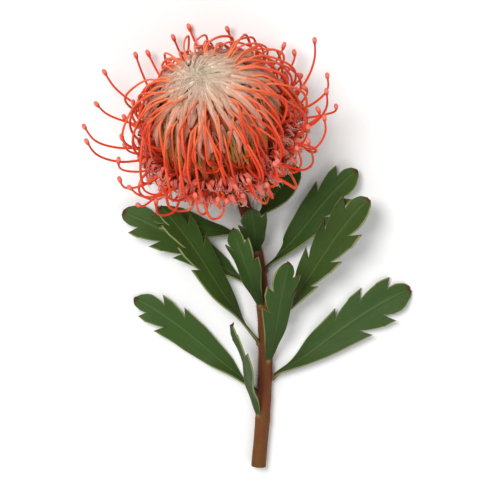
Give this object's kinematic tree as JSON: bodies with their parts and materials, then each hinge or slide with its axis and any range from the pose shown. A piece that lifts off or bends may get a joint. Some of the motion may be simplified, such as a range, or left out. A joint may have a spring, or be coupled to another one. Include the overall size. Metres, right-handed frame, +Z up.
{
  "type": "pincushion protea flower",
  "caption": "Cut pincushion protea flower lying on its side: a round head of looped wiry styles round a woolly dome, on a short leafy stem.",
  "frame": {"origin": "on the surface the flower lies on, under the middle of its bounding box", "axes": "+Y from the cut end of the stem towards the head, +Z up from the surface, +X to the right of the stem seen from above"},
  "size_m": [0.1468, 0.2074, 0.0884],
  "materials": {
    "stem": "crimson to tan bark, finely downy",
    "leaf": "leathery green, satin, with a pale margin",
    "bract": "grey-brown, downy",
    "perianth": "yellow-green tubes turning orange-red, downy tips",
    "style": "smooth, slightly glossy orange-red",
    "wool": "cream-white silky wool"
  },
  "bodies": {
    "root": {"stem": "stem", "leaf_01": "leaf", "leaf_02": "leaf", "leaf_03": "leaf", "leaf_04": "leaf", "leaf_05": "leaf", "leaf_06": "leaf", "leaf_07": "leaf", "leaf_08": "leaf", "leaf_09": "leaf", "leaf_10": "leaf", "leaf_11": "leaf", "leaf_12": "leaf", "involucre": "bract", "perianths": "perianth", "styles": "style", "woolly_dome": "wool"}
  },
  "joints": []
}
